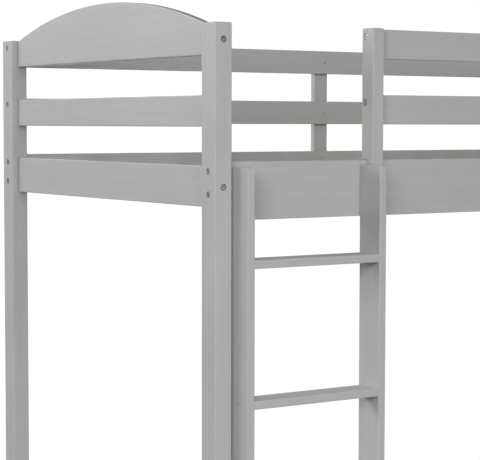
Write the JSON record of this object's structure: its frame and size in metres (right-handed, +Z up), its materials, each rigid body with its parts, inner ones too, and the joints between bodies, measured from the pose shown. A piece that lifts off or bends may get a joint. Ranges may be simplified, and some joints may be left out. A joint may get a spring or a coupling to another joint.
{
  "type": "loft bed with desk",
  "caption": "Grey painted pine loft bed on tall posts with arched ends, guard rails, an upright ladder at the left and a desk between the right posts.",
  "frame": {"origin": "on the floor, midway along the bed and midway between the ladder's front and the rear posts' backs", "axes": "+X along the bed from the ladder end to the desk end, +Y from the ladder side to the rear, +Z up"},
  "size_m": [2.066, 1.1236, 1.7985],
  "materials": {
    "painted_wood": "satin light grey paint over pine",
    "bare_pine": "planed and unpainted",
    "bolt_metal": "dull nickel plate"
  },
  "bodies": {
    "root": {"desk_apron_front": "painted_wood", "desk_apron_inner": "painted_wood", "desk_apron_rear": "painted_wood", "desk_end_rail": "painted_wood", "desk_leg_front": "painted_wood", "desk_leg_rear": "painted_wood", "desk_top": "painted_wood", "end_arch_board_left": "painted_wood", "end_arch_board_right": "painted_wood", "end_lower_rail_left": "painted_wood", "end_lower_rail_right": "painted_wood", "end_middle_rail_left": "painted_wood", "end_middle_rail_right": "painted_wood", "end_stretcher_left": "painted_wood", "end_stretcher_right": "painted_wood", "front_guard_middle_rail": "painted_wood", "front_guard_support": "painted_wood", "front_guard_top_rail": "painted_wood", "guard_post": "painted_wood", "ladder_rung_1": "painted_wood", "ladder_rung_2": "painted_wood", "ladder_rung_3": "painted_wood", "ladder_rung_4": "painted_wood", "ladder_side_left": "painted_wood", "ladder_side_right": "painted_wood", "post_front_left": "painted_wood", "post_front_right": "painted_wood", "post_rear_left": "painted_wood", "post_rear_right": "painted_wood", "rail_bolt_front_left_1": "bolt_metal", "rail_bolt_front_left_2": "bolt_metal", "rail_bolt_front_right_1": "bolt_metal", "rail_bolt_front_right_2": "bolt_metal", "rail_bolt_rear_left_1": "bolt_metal", "rail_bolt_rear_left_2": "bolt_metal", "rail_bolt_rear_right_1": "bolt_metal", "rail_bolt_rear_right_2": "bolt_metal", "rear_guard_middle_rail": "painted_wood", "rear_guard_support": "painted_wood", "rear_guard_top_rail": "painted_wood", "rear_stretcher": "painted_wood", "side_rail_front": "painted_wood", "side_rail_rear": "painted_wood", "slat_01": "bare_pine", "slat_02": "bare_pine", "slat_03": "bare_pine", "slat_04": "bare_pine", "slat_05": "bare_pine", "slat_06": "bare_pine", "slat_07": "bare_pine", "slat_08": "bare_pine", "slat_09": "bare_pine", "slat_10": "bare_pine", "slat_11": "bare_pine", "slat_12": "bare_pine", "slat_13": "bare_pine", "slat_14": "bare_pine", "slat_cleat_front": "bare_pine", "slat_cleat_rear": "bare_pine"}
  },
  "joints": []
}
